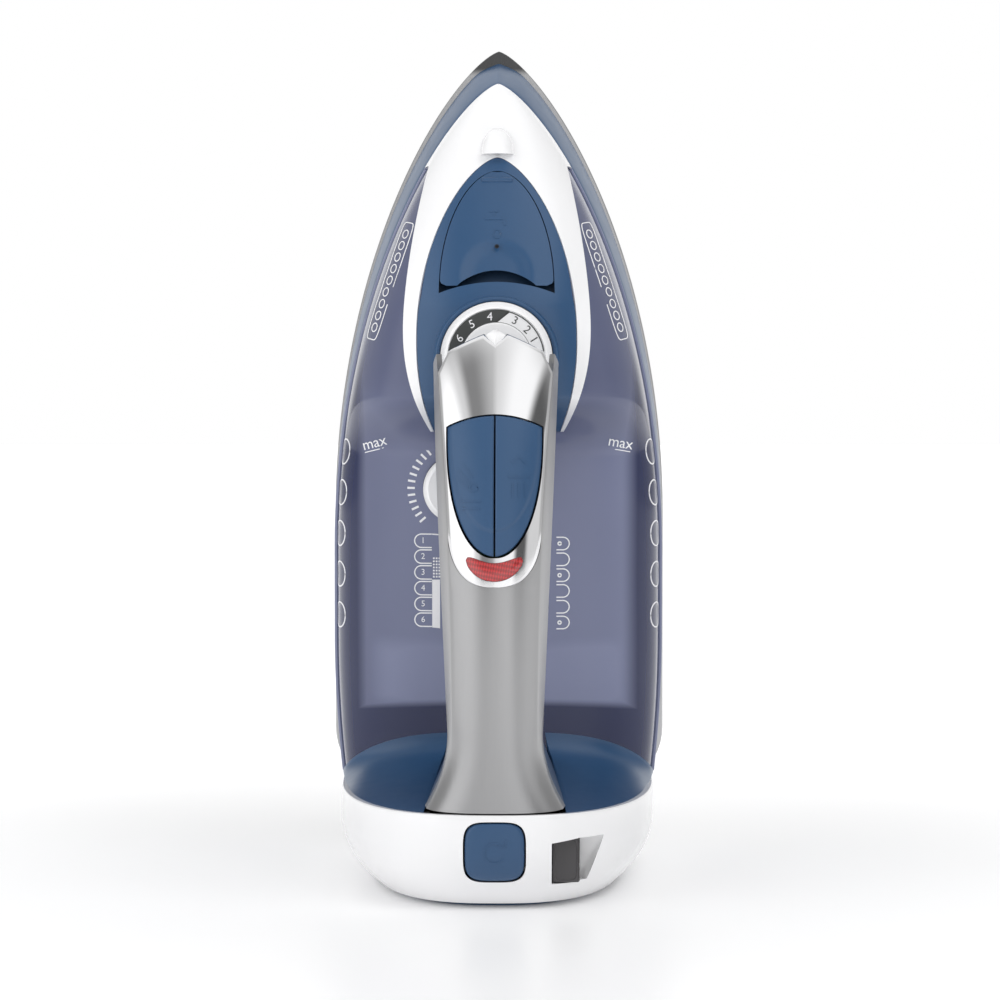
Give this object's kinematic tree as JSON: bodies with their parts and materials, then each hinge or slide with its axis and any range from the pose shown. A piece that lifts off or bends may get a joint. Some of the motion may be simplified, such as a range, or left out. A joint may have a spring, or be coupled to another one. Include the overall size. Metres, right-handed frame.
{
  "type": "clothes iron",
  "caption": "Steam iron standing on its heel: pointed soleplate, translucent tank, loop handle with dial, pump buttons, fill door and cord rewind.",
  "frame": {"origin": "bottom centre of the whole iron as it stands on its heel", "axes": "+Z from heel to nose, -Y the handle side, +Y the soleplate's face, +X to the right when the handle side is seen with the nose up"},
  "size_m": [0.1186, 0.15, 0.2876],
  "materials": {
    "blue": "moulded",
    "white": "moulded",
    "tank": "translucent",
    "lens": "translucent",
    "satin_cover": "satin",
    "chrome_trim": "plated",
    "grip": "moulded",
    "rubber": "moulded",
    "sole": "brushed",
    "casting": "cast",
    "steel": "bare",
    "brass": "bare",
    "insulator": "moulded",
    "board": "bare",
    "lamp": "moulded"
  },
  "bodies": {
    "root": {"base_screw_front": "steel", "base_screw_left": "steel", "base_screw_right": "steel", "brake_lever_pin": "steel", "centre_panel": "blue", "clean_spring": "steel", "contact_brush_lower": "brass", "contact_brush_upper": "brass", "control_bezel": "chrome_trim", "dial_pointer": "white", "fill_door_pin": "steel", "fill_neck": "rubber", "front_shell": "white", "handle_body": "grip", "handle_cover": "satin_cover", "heat_shield": "casting", "heater_casting": "casting", "heating_element": "steel", "heel_cover": "white", "heel_deck": "blue", "heel_foot": "blue", "indicator_lamp": "lamp", "indicator_lens": "lens", "lamp_board": "board", "nozzle_tip": "brass", "outlet_bush": "grip", "reel_axle": "steel", "reel_spring_case": "grip", "skirt": "blue", "soleplate": "sole", "spray_nozzle": "white", "spray_pump_barrel": "white", "spray_spring": "steel", "steam_chamber_cover": "casting", "steam_pump_barrel": "white", "steam_spring": "steel", "steam_valve_seat": "brass", "terminal_block": "insulator", "thermal_fuse": "insulator", "thermostat": "insulator", "thermostat_blade": "brass", "water_tank": "tank", "water_tank_base": "tank"},
    "door": {"fill_door": "blue"},
    "dial": {"temperature_dial": "white", "dial_spindle": "brass"},
    "spray": {"spray_button": "blue", "spray_piston": "grip"},
    "steam": {"steam_button": "blue", "steam_piston": "grip"},
    "clean": {"auto_clean_button": "white", "clean_rod": "steel"},
    "rewind": {"rewind_button": "blue"},
    "brake": {"brake_lever": "grip"},
    "reel": {"cord_reel": "white"}
  },
  "joints": [
    {"name": "fill_door_hinge", "type": "hinge", "parent": "root", "child": "door", "pos_m": [0, 0.01296, 0.2366], "axis": [-1, 0, 0], "range_deg": [0, 85]},
    {"name": "dial_turn", "type": "hinge", "parent": "root", "child": "dial", "pos_m": [0, -0.006, 0.1756], "axis": [0, -1, 0], "range_deg": [-66, 66]},
    {"name": "spray_button_press", "type": "slide", "parent": "root", "child": "spray", "axis": [0, 1, 0], "range_m": [0, 0.004], "stiffness_N_per_m": 900, "springref_m": -0.001, "deforming": ["spray_spring"]},
    {"name": "steam_button_press", "type": "slide", "parent": "root", "child": "steam", "axis": [0, 1, 0], "range_m": [0, 0.004], "stiffness_N_per_m": 900, "springref_m": -0.001, "deforming": ["steam_spring"]},
    {"name": "auto_clean_press", "type": "slide", "parent": "root", "child": "clean", "axis": [0, 1, 0], "range_m": [0, 0.003], "stiffness_N_per_m": 600, "springref_m": -0.001, "deforming": ["clean_spring"]},
    {"name": "rewind_press", "type": "slide", "parent": "root", "child": "rewind", "axis": [0, 1, 0], "range_m": [0, 0.003], "stiffness_N_per_m": 600, "springref_m": -0.001},
    {"name": "brake_release", "type": "hinge", "parent": "root", "child": "brake", "pos_m": [-0.022, -0.05, 0.0237], "axis": [0, 0, 1], "range_deg": [0, 8.6]},
    {"name": "reel_spin", "type": "hinge", "parent": "root", "child": "reel", "pos_m": [0, 0.003, 0.017], "axis": [0, 0, 1], "continuous": true}
  ],
  "couplings": [
    {"joint": "brake_release", "follows": "rewind_press", "rad_per_m": 50}
  ]
}
